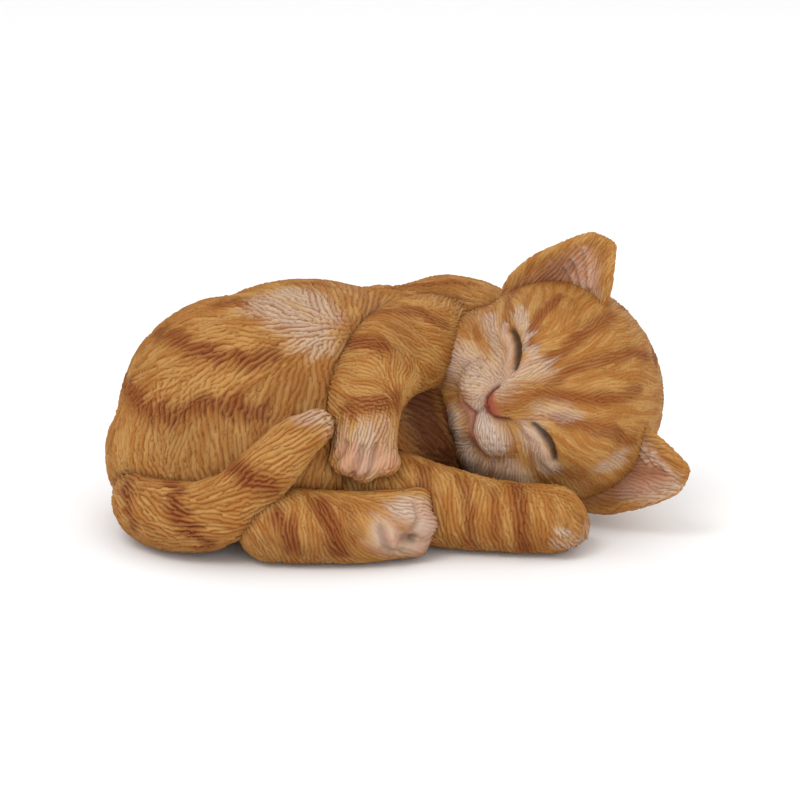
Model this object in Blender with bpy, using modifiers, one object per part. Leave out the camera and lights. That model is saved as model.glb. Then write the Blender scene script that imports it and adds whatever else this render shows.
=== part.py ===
"""Sleeping tabby kitten ornament, cast in resin as separate pieces that are bonded into one figure.

Run it with blender --background --python part.py, or from the text editor.
Units are metres and +Z is up. The kitten lies on its left side with its belly and face towards -Y,
its rump at -X and its crown at +X. The origin is on the resting plane, in the middle of the figure.
"""

import math

import bmesh
import bpy
from mathutils import Matrix, Vector

MM = 0.001

# Main sizes of the figure; its forms below are laid out in millimetres for the layout's sizes
FIGURE_LENGTH = 168 * MM
FIGURE_DEPTH = 106 * MM
FIGURE_HEIGHT = 85 * MM
LAYOUT_LENGTH = 168 * MM
LAYOUT_DEPTH = 106 * MM
LAYOUT_HEIGHT = 85 * MM

# Fits
BOND_GAP = 0.3 * MM  # glue line between a casting and its seat

# Felt pads, stuck under the castings' ground-flat undersides
PAD_RADIUS = 3.6 * MM
PAD_THICKNESS = 1.0 * MM
UNDERSIDE = PAD_THICKNESS + BOND_GAP

# Hollow core of the body casting in millimetres, and the plug in its pour hole
CORE_CENTRE = (-42, 14, 31)
CORE_RADII = (33, 28, 24)
PLUG_RADIUS = 10 * MM
PLUG_DEPTH = 6 * MM
FLANGE_RADIUS = 14 * MM
FLANGE_THICKNESS = 2.5 * MM

# Masses as (centre, radii), and limbs as stations of (x, y, z, radius), all in millimetres
BODY_MASSES = {
    "rump": ((-50, 3, 19), (35.8, 37, 29)),
    "flank": ((-46.5, 9, 29.5), (35.6, 38, 34.2)),
    "hip": ((-28, 12, 33), (44, 38, 34.5)),
    "thigh": ((-35, -12, 22), (29, 27, 22)),
    "waist": ((-6, 20, 33), (26, 28, 31.5)),
    "belly": ((-12, 0, 24), (32, 24, 24)),
    "chest": ((14, 24, 31), (34, 30, 35.5)),
    "nape": ((34, 25, 33), (25, 22, 27)),
}
TAIL_STATIONS = (
    (-64, 4, 14, 9.0),
    (-73.5, -16.5, 11.8, 9.0),
    (-65.5, -32, 10.8, 9.9),
    (-50.5, -40.5, 14.3, 9.6),
    (-38.5, -42, 24.6, 8.2),
    (-29.5, -39, 33.6, 7.0),
    (-23, -36, 38, 4.8),
)
HIND_LEG_STATIONS = (
    (-34.8, -40.8, 10.5, 11),
    (-18, -41.8, 10, 10.4),
    (-6, -40.8, 10, 10),
    (0, -39.6, 10.5, 9.6),
)
HIND_TOES = ((4.5, -37.8, 16, 4.8), (6, -40.3, 10.5, 4.8), (4, -41.8, 5.7, 4.4))
UPPER_FORELEG_STATIONS = (
    (20, 24, 45, 16),
    (0, -4, 51, 14),
    (-9.5, -21, 43, 11),
    (-10, -29, 36, 9.8),
    (-10, -31, 32, 9.4),
)
UPPER_TOES = ((-15.5, -35.5, 28, 4.4), (-10, -37.5, 26.5, 4.6), (-4, -35.5, 27.5, 4.4))
LOWER_FORELEG_STATIONS = (
    (-20, -18, 15, 11.5),
    (-4, -24.5, 14.5, 13),
    (12, -28.3, 12, 11.5),
    (30, -31.6, 9.8, 10.2),
    (43, -33, 9.6, 9.8),
)
LOWER_TOES = ((46, -39, 7.7, 4.8), (48.8, -33.8, 7.2, 5), (48.6, -27.5, 7.7, 4.8))

# Where the felt pads go: under the rump beside the plug, under the chest, and under the two legs in front
PAD_SETBACK = 1.8
PAD_PLACES = {
    "felt_pad_rump": (-66, -2),
    "felt_pad_chest": BODY_MASSES["chest"][0][:2],
    "felt_pad_hind_leg": (HIND_LEG_STATIONS[1][0], HIND_LEG_STATIONS[1][1] + PAD_SETBACK),
    "felt_pad_foreleg": (LOWER_FORELEG_STATIONS[3][0], LOWER_FORELEG_STATIONS[3][1] + PAD_SETBACK),
}

# The head is modelled upright in its own axes: +X to the nose, +Y to its left, +Z to the crown
HEAD_CENTRE = (44, 4, 36.5)
HEAD_FORWARD = (-0.50, -0.86, 0.13)
HEAD_UP = (0.81, -0.41, 0.42)
HEAD_MIDDLE_MASSES = {
    "skull": ((-1, 0, 3), (30, 32.5, 29.2)),
    "nose_bridge": ((24, 0, 4), (10.5, 7, 10)),
    "nose": ((33, 0, 0), (3.8, 5, 3.5)),
    "chin": ((22, 0, -15), (8.5, 8, 7.5)),
}
HEAD_PAIRED_MASSES = {
    "muzzle": ((26, 6, -6.5), (8.8, 8.5, 7)),
    "cheek": ((8, 14, -12), (19, 16.5, 15.5)),
    "brow": ((13, 12, 13), (14, 14, 12)),
    "eyelid": ((21, 13.8, 4.6), (6.2, 6.5, 3.2)),
}

# Lines carved in the face, as (sideways, up) in the head's axes for the left half
EYE_LINE = ((8.5, 6.1), (12.5, 8.3), (16, 8.6), (19.7, 6.5))
NOSTRIL_LINE = ((1.5, -2.5), (3.2, -1.6), (5, 1.2))
MOUTH_LINE = ((0, -3), (0.3, -8), (4, -11.2), (10.5, -12))
CARVED_RADIUS = 0.9

# Ears, in the head's axes for the left one: a leaf between two roots and a blunt tip, scooped towards the nose
EAR_OUTER_ROOT = (4, 31, -5)
EAR_INNER_ROOT = (2, 16, 25)
EAR_OUTER_TIP = (6, 39, 32)
EAR_INNER_TIP = (5, 34, 36.8)
EAR_SCOOP = 9
EAR_OUTER_BULGE = 7.5
EAR_INNER_BULGE = 1
EAR_THICKNESS = 3.2 * MM

# Mesh of the castings: how finely masses are fused, rounds of softening, and triangles to keep
BROAD_VOXEL = 1.6 * MM
LIMB_VOXEL = 1.1 * MM
GROOVE_VOXEL = 0.45 * MM
BROAD_SOFTENING = 8
LIMB_SOFTENING = 4
TRIANGLES = {
    "body_casting": 1300,
    "head_casting": 1700,
    "hind_leg_casting": 800,
    "tail_casting": 450,
    "upper_foreleg_casting": 800,
    "lower_foreleg_casting": 850,
}

RESIN_COLOUR = (0.55, 0.27, 0.09)
EAR_COLOUR = (0.62, 0.33, 0.16)
PLUG_COLOUR = (0.70, 0.66, 0.58)
FELT_COLOUR = (0.05, 0.05, 0.05)


def material(name, colour, roughness):
    made = bpy.data.materials.new(name)
    made.use_nodes = True
    shader = made.node_tree.nodes["Principled BSDF"]
    shader.inputs["Base Color"].default_value = (*colour, 1)
    shader.inputs["Roughness"].default_value = roughness
    shader.inputs["Metallic"].default_value = 0
    return made


def paint(piece, colour, roughness):
    piece.data.materials.clear()
    piece.data.materials.append(material(piece.name + "_finish", colour, roughness))


def add_ball(mesh, centre, radii):
    """Adds an ellipsoid to a mesh that is being put together."""
    size = Matrix.Diagonal((*(radius * MM for radius in radii), 1))
    place = Matrix.Translation(Vector(centre) * MM)
    bmesh.ops.create_uvsphere(mesh, u_segments=32, v_segments=16, radius=1, matrix=place @ size)


def add_limb(mesh, stations):
    """Adds a round tapered limb through its stations, with a ball at each end."""
    curve = bpy.data.curves.new("limb", "CURVE")
    curve.dimensions = "3D"
    curve.bevel_depth = 1
    curve.bevel_resolution = 5
    curve.resolution_u = 8
    curve.use_fill_caps = True
    spline = curve.splines.new("BEZIER")
    spline.bezier_points.add(len(stations) - 1)
    for point, (x, y, z, radius) in zip(spline.bezier_points, stations):
        point.co = Vector((x, y, z)) * MM
        point.radius = radius * MM
        point.handle_left_type = point.handle_right_type = "AUTO"
    holder = bpy.data.objects.new("limb", curve)
    bpy.context.scene.collection.objects.link(holder)
    graph = bpy.context.evaluated_depsgraph_get()
    tube = bpy.data.meshes.new_from_object(holder.evaluated_get(graph))
    mesh.from_mesh(tube)
    bpy.data.objects.remove(holder)
    bpy.data.meshes.remove(tube)
    bpy.data.curves.remove(curve)
    for x, y, z, radius in (stations[0], stations[-1]):
        add_ball(mesh, (x, y, z), (radius, radius, radius))


def add_object(name, mesh, collection):
    """Turns a mesh that was put together into an object."""
    data = bpy.data.meshes.new(name)
    mesh.to_mesh(data)
    mesh.free()
    piece = bpy.data.objects.new(name, data)
    collection.objects.link(piece)
    return piece


def settle(piece):
    """Applies an object's modifiers."""
    graph = bpy.context.evaluated_depsgraph_get()
    mesh = bpy.data.meshes.new_from_object(piece.evaluated_get(graph))
    piece.modifiers.clear()
    piece.data = mesh


def fuse(name, masses, voxel, softening, collection):
    """One smooth casting from overlapping masses, brought down to its number of triangles."""
    piece = add_object(name, masses, collection)
    remesh = piece.modifiers.new("fuse", "REMESH")
    remesh.mode = "VOXEL"
    soften = piece.modifiers.new("soften", "SMOOTH")
    soften.factor = 0.5
    remesh.voxel_size = voxel
    soften.iterations = round(softening)
    settle(piece)
    count = sum(len(face.vertices) - 2 for face in piece.data.polygons)
    thin = piece.modifiers.new("thin", "DECIMATE")
    thin.ratio = min(1, TRIANGLES[name] / count)
    settle(piece)
    return piece


def stretch():
    """Brings a form from the layout's sizes to the figure's."""
    sizes = (FIGURE_LENGTH / LAYOUT_LENGTH, FIGURE_DEPTH / LAYOUT_DEPTH, FIGURE_HEIGHT / LAYOUT_HEIGHT)
    return Matrix.Diagonal((*sizes, 1))


def put(piece, place=Matrix.Identity(4)):
    """Puts a form that was made in its own axes in its place in the figure."""
    piece.data.transform(stretch() @ place)
    return piece


def body_casting(collection):
    masses = bmesh.new()
    for centre, radii in BODY_MASSES.values():
        add_ball(masses, centre, radii)
    return put(fuse("body_casting", masses, BROAD_VOXEL, BROAD_SOFTENING, collection))


def limb_casting(name, stations, toes, collection):
    masses = bmesh.new()
    add_limb(masses, stations)
    for x, y, z, radius in toes:
        add_ball(masses, (x, y, z), (radius, radius, radius))
    return put(fuse(name, masses, LIMB_VOXEL, LIMB_SOFTENING, collection))


def head_matrix():
    forward = Vector(HEAD_FORWARD).normalized()
    left = Vector(HEAD_UP).cross(forward).normalized()
    up = forward.cross(left)
    turn = Matrix((forward, left, up)).transposed().to_4x4()
    return Matrix.Translation(Vector(HEAD_CENTRE) * MM) @ turn


def carved_line(name, head, line, side, cutters):
    """A thin round cutter that follows the face, seen from the front, along a line."""
    bpy.context.view_layer.update()
    stations = []
    for sideways, up in line:
        start = Vector((80, sideways * side, up)) * MM
        hit, place, normal, face = head.ray_cast(start, Vector((-1, 0, 0)))
        stations.append((*(place / MM), CARVED_RADIUS))
    groove = bmesh.new()
    add_limb(groove, stations)
    cutter = add_object(name, groove, cutters)
    fine = cutter.modifiers.new("fuse", "REMESH")
    fine.mode = "VOXEL"
    fine.voxel_size = GROOVE_VOXEL
    settle(cutter)
    thin = cutter.modifiers.new("thin", "DECIMATE")
    thin.ratio = 0.12
    settle(cutter)
    return cutter


def head_casting(collection, cutters):
    masses = bmesh.new()
    for centre, radii in HEAD_MIDDLE_MASSES.values():
        add_ball(masses, centre, radii)
    for (x, y, z), radii in HEAD_PAIRED_MASSES.values():
        add_ball(masses, (x, y, z), radii)
        add_ball(masses, (x, -y, z), radii)
    head = fuse("head_casting", masses, BROAD_VOXEL, BROAD_SOFTENING, collection)
    lines = {"eye": EYE_LINE, "nostril": NOSTRIL_LINE, "mouth": MOUTH_LINE}
    carved = []
    for name, line in lines.items():
        for side_name, side in (("left", 1), ("right", -1)):
            carved.append(carved_line(f"{side_name}_{name}_groove", head, line, side, cutters))
    for cutter in carved:
        cut(head, cutter)
    for piece in [head, *carved]:
        put(piece, head_matrix())
    return head


def ear_casting(name, side, collection):
    """A scooped leaf, thickened and rounded."""
    outer_root, inner_root = Vector(EAR_OUTER_ROOT), Vector(EAR_INNER_ROOT)
    outer_tip, inner_tip = Vector(EAR_OUTER_TIP), Vector(EAR_INNER_TIP)
    width = (inner_root - outer_root).normalized()
    sheet = bmesh.new()
    bmesh.ops.create_grid(sheet, x_segments=6, y_segments=5, size=0.5)
    for vertex in sheet.verts:
        across, along = vertex.co.x + 0.5, vertex.co.y + 0.5
        swell = math.sin(math.pi * along)
        outer = outer_root.lerp(outer_tip, along) - width * EAR_OUTER_BULGE * swell
        inner = inner_root.lerp(inner_tip, along) + width * EAR_INNER_BULGE * swell
        depth = EAR_SCOOP * (1 - (2 * across - 1) ** 2) * (1 - 0.75 * along)
        place = outer.lerp(inner, across) - Vector((depth, 0, 0))
        vertex.co = Vector((place.x, place.y * side, place.z)) * MM
    if side < 0:
        bmesh.ops.reverse_faces(sheet, faces=sheet.faces)
    ear = add_object(name, sheet, collection)
    thick = ear.modifiers.new("thick", "SOLIDIFY")
    thick.thickness = EAR_THICKNESS
    thick.offset = 0
    smooth = ear.modifiers.new("smooth", "SUBSURF")
    smooth.levels = smooth.render_levels = 1
    settle(ear)
    return put(ear, head_matrix())


def cut(piece, cutter):
    """Takes a cutter away from a piece."""
    boolean = piece.modifiers.new("cut_" + cutter.name, "BOOLEAN")
    boolean.operation = "DIFFERENCE"
    boolean.solver = "EXACT"
    boolean.object = cutter
    settle(piece)


def seat(piece, neighbour, cutters):
    """Sinks a seat for a neighbour into a piece, with the glue line all round."""
    grown = bpy.data.objects.new(f"{piece.name}_seat_for_{neighbour.name}", neighbour.data.copy())
    cutters.objects.link(grown)
    swell = grown.modifiers.new("glue_line", "DISPLACE")
    swell.strength = BOND_GAP
    swell.mid_level = 0
    settle(grown)
    cut(piece, grown)


def block(name, low, high, cutters):
    """A box between two corners."""
    box = bmesh.new()
    middle = (Vector(low) + Vector(high)) / 2
    size = Vector(high) - Vector(low)
    bmesh.ops.create_cube(box, size=1, matrix=Matrix.Translation(middle) @ Matrix.Diagonal((*size, 1)))
    return add_object(name, box, cutters)


def disc(name, place, low, high, radius, collection, steps=()):
    """A round disc under a place of the layout; each step adds a wider or narrower one above, as (height, radius)."""
    middle = stretch() @ Vector((place[0], place[1], 0)) * MM
    rings = [(low, radius), (high, radius)]
    for height, wider in steps:
        rings += [(rings[-1][0], wider), (rings[-1][0] + height, wider)]
    segments = 32
    mesh = bmesh.new()
    loops = []
    for height, ring_radius in rings:
        loop = []
        for index in range(segments):
            angle = 2 * math.pi * index / segments
            x = middle.x + ring_radius * math.cos(angle)
            y = middle.y + ring_radius * math.sin(angle)
            loop.append(mesh.verts.new((x, y, height)))
        loops.append(loop)
    for lower, upper in zip(loops, loops[1:]):
        for index in range(segments):
            following = (index + 1) % segments
            mesh.faces.new((lower[index], lower[following], upper[following], upper[index]))
    mesh.faces.new(loops[0][::-1])
    mesh.faces.new(loops[-1])
    return add_object(name, mesh, collection)


def core_and_plug(body, figure, cutters):
    """Hollows the body casting through a stepped pour hole, and closes the hole with a plug."""
    core = bmesh.new()
    add_ball(core, CORE_CENTRE, CORE_RADII)
    hollow = put(add_object("hollow_core", core, cutters))
    cut(body, hollow)
    core_bottom = min(vertex.co.z for vertex in hollow.data.vertices)
    flange_top = UNDERSIDE + FLANGE_THICKNESS
    hole = disc(
        "pour_hole", CORE_CENTRE, -UNDERSIDE, flange_top + BOND_GAP, FLANGE_RADIUS + BOND_GAP, cutters,
        steps=[(core_bottom + 6 * MM - flange_top, PLUG_RADIUS + BOND_GAP)],
    )
    cut(body, hole)
    return disc(
        "pour_hole_plug", CORE_CENTRE, UNDERSIDE, flange_top, FLANGE_RADIUS, figure,
        steps=[(PLUG_DEPTH, PLUG_RADIUS)],
    )


def boxes_meet(first, second):
    """Whether two pieces' boxes overlap."""
    for axis in range(3):
        one = [vertex.co[axis] for vertex in first.data.vertices]
        other = [vertex.co[axis] for vertex in second.data.vertices]
        if min(one) > max(other) + BOND_GAP or min(other) > max(one) + BOND_GAP:
            return False
    return True


def centre_figure(figure, cutters):
    """Brings the middle of the figure's box over the origin, and leaves its height as it is."""
    places = [vertex.co for piece in figure.objects for vertex in piece.data.vertices]
    middle = [(min(place[axis] for place in places) + max(place[axis] for place in places)) / 2 for axis in (0, 1)]
    shift = Matrix.Translation((-middle[0], -middle[1], 0))
    for thing in [*figure.objects, *cutters.objects]:
        thing.data.transform(shift)


def main():
    for old in list(bpy.data.objects):
        bpy.data.objects.remove(old)
    figure = bpy.data.collections.new("sleeping_kitten")
    cutters = bpy.data.collections.new("cutters")
    bpy.context.scene.collection.children.link(figure)
    bpy.context.scene.collection.children.link(cutters)

    hind_leg = limb_casting("hind_leg_casting", HIND_LEG_STATIONS, HIND_TOES, figure)
    tail = limb_casting("tail_casting", TAIL_STATIONS, (), figure)
    upper_foreleg = limb_casting("upper_foreleg_casting", UPPER_FORELEG_STATIONS, UPPER_TOES, figure)
    right_ear = ear_casting("right_ear_casting", -1, figure)
    left_ear = ear_casting("left_ear_casting", 1, figure)
    head = head_casting(figure, cutters)
    lower_foreleg = limb_casting("lower_foreleg_casting", LOWER_FORELEG_STATIONS, LOWER_TOES, figure)
    body = body_casting(figure)

    # Each casting is sunk into those after it, so what shows in front stays whole
    in_front = [hind_leg, tail, upper_foreleg, right_ear, left_ear, head, lower_foreleg, body]
    below = block("ground_flat", (-0.2, -0.2, -0.1), (0.2, 0.2, UNDERSIDE), cutters)
    for index, piece in enumerate(in_front):
        for neighbour in in_front[:index]:
            if boxes_meet(piece, neighbour):
                seat(piece, neighbour, cutters)
    for piece in in_front:
        cut(piece, below)
        ear = piece in (right_ear, left_ear)
        paint(piece, EAR_COLOUR if ear else RESIN_COLOUR, 0.6)
        piece.data.shade_smooth()

    plug = core_and_plug(body, figure, cutters)
    paint(body, RESIN_COLOUR, 0.6)
    paint(plug, PLUG_COLOUR, 0.7)
    for name, place in PAD_PLACES.items():
        pad = disc(name, place, 0, PAD_THICKNESS, PAD_RADIUS, figure)
        paint(pad, FELT_COLOUR, 0.95)
    for cutter in cutters.objects:
        cutter.hide_render = True
        cutter.display_type = "WIRE"
    centre_figure(figure, cutters)


main()
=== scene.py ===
import math

import bmesh
import bpy
import numpy as np
from mathutils import Matrix, Vector
from mathutils.bvhtree import BVHTree
from mathutils.kdtree import KDTree
from mathutils.noise import noise as random_field


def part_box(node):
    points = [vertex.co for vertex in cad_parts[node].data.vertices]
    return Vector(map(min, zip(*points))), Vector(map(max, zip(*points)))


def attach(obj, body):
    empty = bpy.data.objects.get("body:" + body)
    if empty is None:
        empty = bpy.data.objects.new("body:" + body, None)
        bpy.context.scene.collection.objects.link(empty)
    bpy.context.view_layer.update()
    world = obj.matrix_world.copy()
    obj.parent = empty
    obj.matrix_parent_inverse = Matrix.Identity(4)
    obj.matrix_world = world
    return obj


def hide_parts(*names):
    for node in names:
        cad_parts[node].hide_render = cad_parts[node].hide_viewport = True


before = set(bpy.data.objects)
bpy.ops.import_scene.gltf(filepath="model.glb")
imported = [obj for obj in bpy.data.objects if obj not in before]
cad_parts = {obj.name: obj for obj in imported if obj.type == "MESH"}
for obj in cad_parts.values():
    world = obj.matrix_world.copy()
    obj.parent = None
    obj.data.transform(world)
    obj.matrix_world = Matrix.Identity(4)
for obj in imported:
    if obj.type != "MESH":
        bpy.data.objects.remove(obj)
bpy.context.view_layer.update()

MM = 0.001

# The photograph's camera: it looks along +Y from a little above
CAMERA_ELEVATION = math.radians(15)
CAMERA_DISTANCE = 900
CAMERA_AIM_HEIGHT = 35.7
PIXEL = 0.29  # millimetres across one pixel at the aim point
FRAME_PIXELS = 800
SENSOR = 36

# Places and heights underneath, in millimetres as in the solids
PAD_RUMP_PLACE = (-66, -2)
PLUG_PLACE = (-42, 14)
UNDERSIDE = 1.3
FLANGE_RADIUS = 14.3
FLANGE_RECESS = 2.8

# Masses as (centre, radii), and limbs as stations of (x, y, z, radius), in millimetres as in the solids
BODY_MASSES = {
    "rump": ((-50, 3, 19), (35.8, 37, 29)),
    "flank": ((-46.5, 9, 29.5), (35.6, 38, 34.2)),
    "hip": ((-28, 12, 33), (44, 38, 34.5)),
    "thigh": ((-35, -12, 22), (29, 27, 22)),
    "waist": ((-6, 20, 33), (26, 28, 31.5)),
    "belly": ((-12, 0, 24), (32, 24, 24)),
    "chest": ((14, 24, 31), (34, 30, 35.5)),
    "nape": ((34, 25, 33), (25, 22, 27)),
}
TAIL_STATIONS = (
    (-64, 4, 14, 9.0),
    (-73.5, -16.5, 11.8, 9.0),
    (-65.5, -32, 10.8, 9.9),
    (-50.5, -40.5, 14.3, 9.6),
    (-38.5, -42, 24.6, 8.2),
    (-29.5, -39, 33.6, 7.0),
    (-23, -36, 38, 4.8),
)
HIND_LEG_STATIONS = (
    (-34.8, -40.8, 10.5, 11),
    (-18, -41.8, 10, 10.4),
    (-6, -40.8, 10, 10),
    (0, -39.6, 10.5, 9.6),
)
HIND_TOES = ((4.5, -37.8, 16, 4.8), (6, -40.3, 10.5, 4.8), (4, -41.8, 5.7, 4.4))
UPPER_FORELEG_STATIONS = (
    (20, 24, 45, 16),
    (0, -4, 51, 14),
    (-9.5, -21, 43, 11),
    (-10, -29, 36, 9.8),
    (-10, -31, 32, 9.4),
)
UPPER_TOES = ((-15.5, -35.5, 28, 4.4), (-10, -37.5, 26.5, 4.6), (-4, -35.5, 27.5, 4.4))
LOWER_FORELEG_STATIONS = (
    (-20, -18, 15, 11.5),
    (-4, -24.5, 14.5, 13),
    (12, -28.3, 12, 11.5),
    (30, -31.6, 9.8, 10.2),
    (43, -33, 9.6, 9.8),
)
LOWER_TOES = ((46, -39, 7.7, 4.8), (48.8, -33.8, 7.2, 5), (48.6, -27.5, 7.7, 4.8))

# The head in its own axes: +X to the nose, +Y to its left, +Z to the crown
HEAD_CENTRE = (44, 4, 36.5)
HEAD_FORWARD = (-0.50, -0.86, 0.13)
HEAD_UP = (0.81, -0.41, 0.42)
HEAD_MIDDLE_MASSES = {
    "skull": ((-1, 0, 3), (30, 32.5, 29.2)),
    "nose_bridge": ((24, 0, 4), (10.5, 7, 10)),
    "nose": ((33, 0, 0), (3.8, 5, 3.5)),
    "chin": ((22, 0, -15), (8.5, 8, 7.5)),
}
HEAD_PAIRED_MASSES = {
    "muzzle": ((26, 6, -6.5), (8.8, 8.5, 7)),
    "cheek": ((8, 14, -12), (19, 16.5, 15.5)),
    "brow": ((13, 12, 13), (14, 14, 12)),
    "eyelid": ((21, 13.8, 4.6), (6.2, 6.5, 3.2)),
}
# Fullness under the chin, beyond the solid
JAW_MASS = ((16, 7, -18), (10, 9, 9.5))

# Lines carved in the face, as (sideways, up) in the head's axes for its left half
EYE_LINE = ((8.5, 6.1), (12.5, 8.3), (16, 8.6), (19.7, 6.5))
NOSTRIL_LINE = ((1.5, -2.5), (3.2, -1.6), (5, 1.2))
PHILTRUM_LINE = ((0, -2), (0, -8.5))
MOUTH_LINE = ((0, -8.5), (4, -11.2), (10.5, -12))

# What is carved along them, in millimetres: half widths and depths of the grooves, and for lid and fold
# how far above the slit they are, half width and height
SLIT = (0.7, 1.4)
LID = (-2.6, 1.7, 0.8)
FOLD = (2.2, 1.2, 0.45)
NOSTRIL = (0.6, 0.9)
PHILTRUM = (0.6, 0.6)
MOUTH = (0.7, 1.1)
LIP_HALF_WIDTH = 1.6

# The shadow in a closed eye: half width at its ends, what its middle adds, and how crisp its upper edge is
SHADOW_END = 0.5
SHADOW_MIDDLE = 1.35
SHADOW_CRISPNESS = 3.0

# The nose's bare skin widens from its foot to its top
NOSE_FOOT = -3.6
NOSE_HEIGHT = 4.2
NOSE_FOOT_HALF_WIDTH = 1.4
NOSE_WIDENING = 3.0

# Whisker pits, in rows at these heights
WHISKER_ROWS = (-3.6, -6.0, -8.4)
WHISKER_COLUMNS = 4
WHISKER_START = 7.2
WHISKER_SPACING = 2.3
WHISKER_STAGGER = 0.8
WHISKER_RISE = 0.25
WHISKER_PIT = (0.45, 0.35)

# How dark the ink is in each
INK = {"slit": 0.85, "shadow": 0.88, "nostril": 0.7, "philtrum": 0.3, "mouth": 0.35, "pit": 0.35}

# Ears in the head's axes, for the left one
EAR_OUTER_ROOT = (4, 31, -5)
EAR_INNER_ROOT = (2, 16, 25)
EAR_OUTER_TIP = (6, 39, 32)
EAR_INNER_TIP = (5, 34, 36.8)
EAR_SCOOP = 9
EAR_OUTER_BULGE = 7.5
EAR_INNER_BULGE = 1
EAR_THICKNESS = 3.2
EAR_SCOOP_TAPER = 0.75
EAR_CELLS = (6, 5)

# Fineness of the meshes: cells that masses are fused in, rounds of softening, and subdivisions
BALL_SEGMENTS = 48
LIMB_ROUNDNESS = 8
LIMB_STEPS = 12
BODY_CELL = 2.2
HEAD_CELL = 1.6
LIMB_CELL = 1.4
BROAD_SOFTENING = 6
LIMB_SOFTENING = 3
FUSED_LEVELS = 2
EAR_LEVELS = 4

# Brush strokes, as (points in the photograph, half width in millimetres, strength)
STRIPES = {
    "body": (
        (((158, 332), (190, 347), (220, 355), (250, 360), (278, 352)), 2.6, 0.9),
        (((122, 377), (132, 398), (150, 412), (176, 413), (205, 403), (235, 406), (262, 412)), 2.9, 0.9),
        (((214, 307), (229, 303), (244, 302)), 2.6, 0.8),
        (((112, 440), (110, 465), (114, 485)), 1.6, 0.4),
        (((290, 284), (315, 283), (345, 290)), 1.6, 0.5),
        (((395, 289), (430, 285), (465, 284)), 2.0, 0.7),
    ),
    "tail": (
        (((124, 484), (128, 503), (132, 527)), 1.9, 0.9),
        (((176, 482), (173, 505), (186, 526), (207, 545)), 2.4, 1.0),
        (((232, 460), (247, 472), (262, 483), (273, 488)), 2.6, 1.0),
    ),
    "hind_leg": (
        (((276, 512), (288, 530), (294, 550)), 2.4, 0.95),
        (((318, 500), (330, 525), (338, 550)), 2.7, 1.0),
        (((346, 508), (353, 526), (356, 544)), 1.6, 0.5),
    ),
    "upper_foreleg": (
        (((332, 352), (350, 343), (368, 342), (384, 347)), 2.5, 0.95),
        (((346, 408), (372, 404), (397, 403)), 2.6, 0.9),
        (((372, 314), (395, 310), (420, 312), (440, 322)), 2.4, 0.8),
    ),
    "lower_foreleg": (
        (((424, 464), (423, 490), (428, 530)), 2.0, 0.75),
        (((462, 480), (469, 510), (471, 545)), 1.6, 0.7),
        (((492, 486), (496, 510), (497, 540)), 1.3, 0.55),
        (((516, 486), (521, 515), (524, 550)), 2.2, 0.85),
    ),
    "head": (
        (((550, 362), (570, 345), (592, 327), (612, 315)), 1.8, 0.75),
        (((540, 392), (565, 371), (600, 360), (630, 352), (648, 356)), 1.8, 0.75),
        (((545, 391), (568, 397), (592, 400), (618, 397), (636, 390)), 1.9, 0.8),
        (((500, 406), (520, 398), (542, 391)), 2.6, 0.55),
        (((531, 345), (534, 325), (544, 309), (560, 297)), 1.5, 0.85),
        (((563, 420), (585, 425), (608, 432), (630, 440)), 2.2, 0.75),
        (((556, 468), (580, 480), (600, 488)), 2.6, 0.5),
        (((474, 330), (470, 314), (478, 300)), 2.4, 0.5),
        (((508, 322), (508, 305), (514, 290)), 1.6, 0.6),
    ),
}
PALES = {
    "body": (
        (((266, 304), (286, 314), (304, 324), (316, 338)), 5.6, 0.6),
        (((290, 294), (310, 299), (324, 314)), 4.6, 0.6),
    ),
    "tail": ((((308, 414), (326, 418)), 3.6, 0.5),),
    "hind_leg": (
        (((406, 508), (417, 509), (426, 518), (431, 535)), 4.0, 0.85),
        (((382, 534), (398, 546), (420, 546)), 4.0, 0.75),
    ),
    "upper_foreleg": (
        (((344, 440), (352, 456)), 4.5, 0.35),
        (((364, 436), (366, 468)), 3.6, 0.65),
        (((384, 432), (387, 452)), 4.0, 0.35),
    ),
    "lower_foreleg": (
        (((559, 529), (570, 533)), 1.4, 0.7),
        (((562, 546), (574, 545), (586, 536)), 2.4, 0.45),
    ),
    "head": (
        (((476, 416), (485, 430), (494, 447)), 4.4, 1.0),
        (((468, 384), (477, 398)), 3.8, 0.7),
        (((452, 362), (466, 366), (484, 376), (502, 382)), 5.5, 0.7),
        (((507, 374), (500, 358), (494, 338), (489, 316)), 2.3, 0.6),
        (((519, 312), (526, 335), (530, 362), (522, 374)), 2.0, 0.65),
        (((526, 374), (543, 366)), 3.0, 0.55),
        (((538, 410), (554, 411), (568, 414)), 2.5, 0.45),
        (((530, 430), (537, 448), (546, 464)), 3.2, 0.75),
        (((450, 420), (458, 442), (472, 462)), 4.0, 0.85),
        (((490, 466), (518, 474)), 3.4, 0.6),
        (((604, 466), (620, 458)), 3.0, 0.6),
    ),
    "right_ear": (
        (((594, 268), (588, 296)), 1.8, 0.7),
        (((574, 258), (584, 290)), 0.8, 0.8),
        (((584, 248), (590, 284)), 0.8, 0.75),
        (((566, 266), (578, 290)), 0.7, 0.6),
    ),
    "left_ear": (
        (((628, 490), (650, 492), (672, 484)), 3.0, 0.7),
        (((636, 446), (648, 462)), 0.7, 0.75),
        (((643, 446), (657, 464)), 0.7, 0.75),
        (((652, 452), (668, 470)), 0.8, 0.75),
    ),
}
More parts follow.
